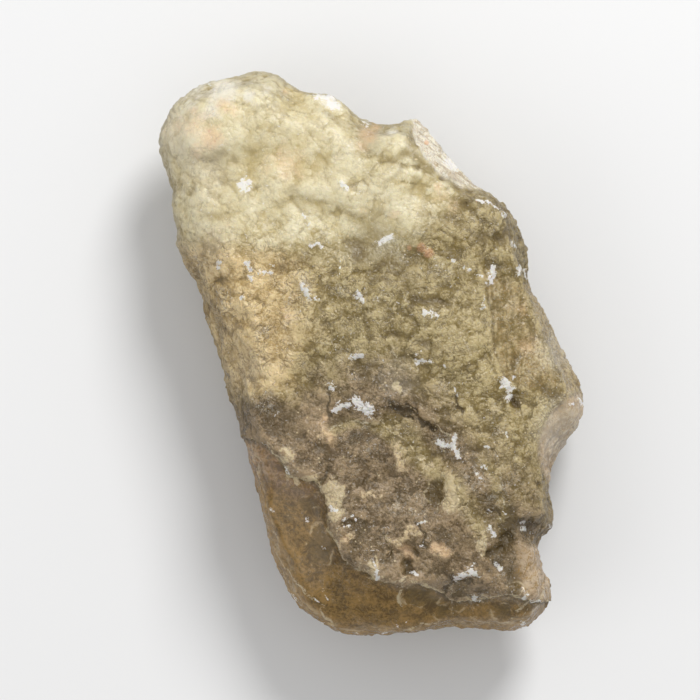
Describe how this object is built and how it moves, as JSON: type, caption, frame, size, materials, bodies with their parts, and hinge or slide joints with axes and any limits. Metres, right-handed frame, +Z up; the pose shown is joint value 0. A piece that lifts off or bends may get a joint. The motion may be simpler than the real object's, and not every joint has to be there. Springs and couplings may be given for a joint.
{
  "type": "raw desert glass",
  "caption": "Raw translucent olive-yellow desert glass, a flat wedge-like slab with a rough lumpy face and smooth breaks, that lies on its underside as a specimen or aquascape stone.",
  "frame": {"origin": "centre of the bounding box at the bottom, on the surface that the stone lies on", "axes": "+Z up out of the rough front face, +Y along the stone towards the thin end, +X to the right seen from above"},
  "size_m": [0.0708, 0.0942, 0.0288],
  "materials": {
    "desert_glass": "satin, frosted by wind wear, glossier on the fresh breaks"
  },
  "bodies": {
    "root": {"desert_glass": "desert_glass"}
  },
  "joints": []
}
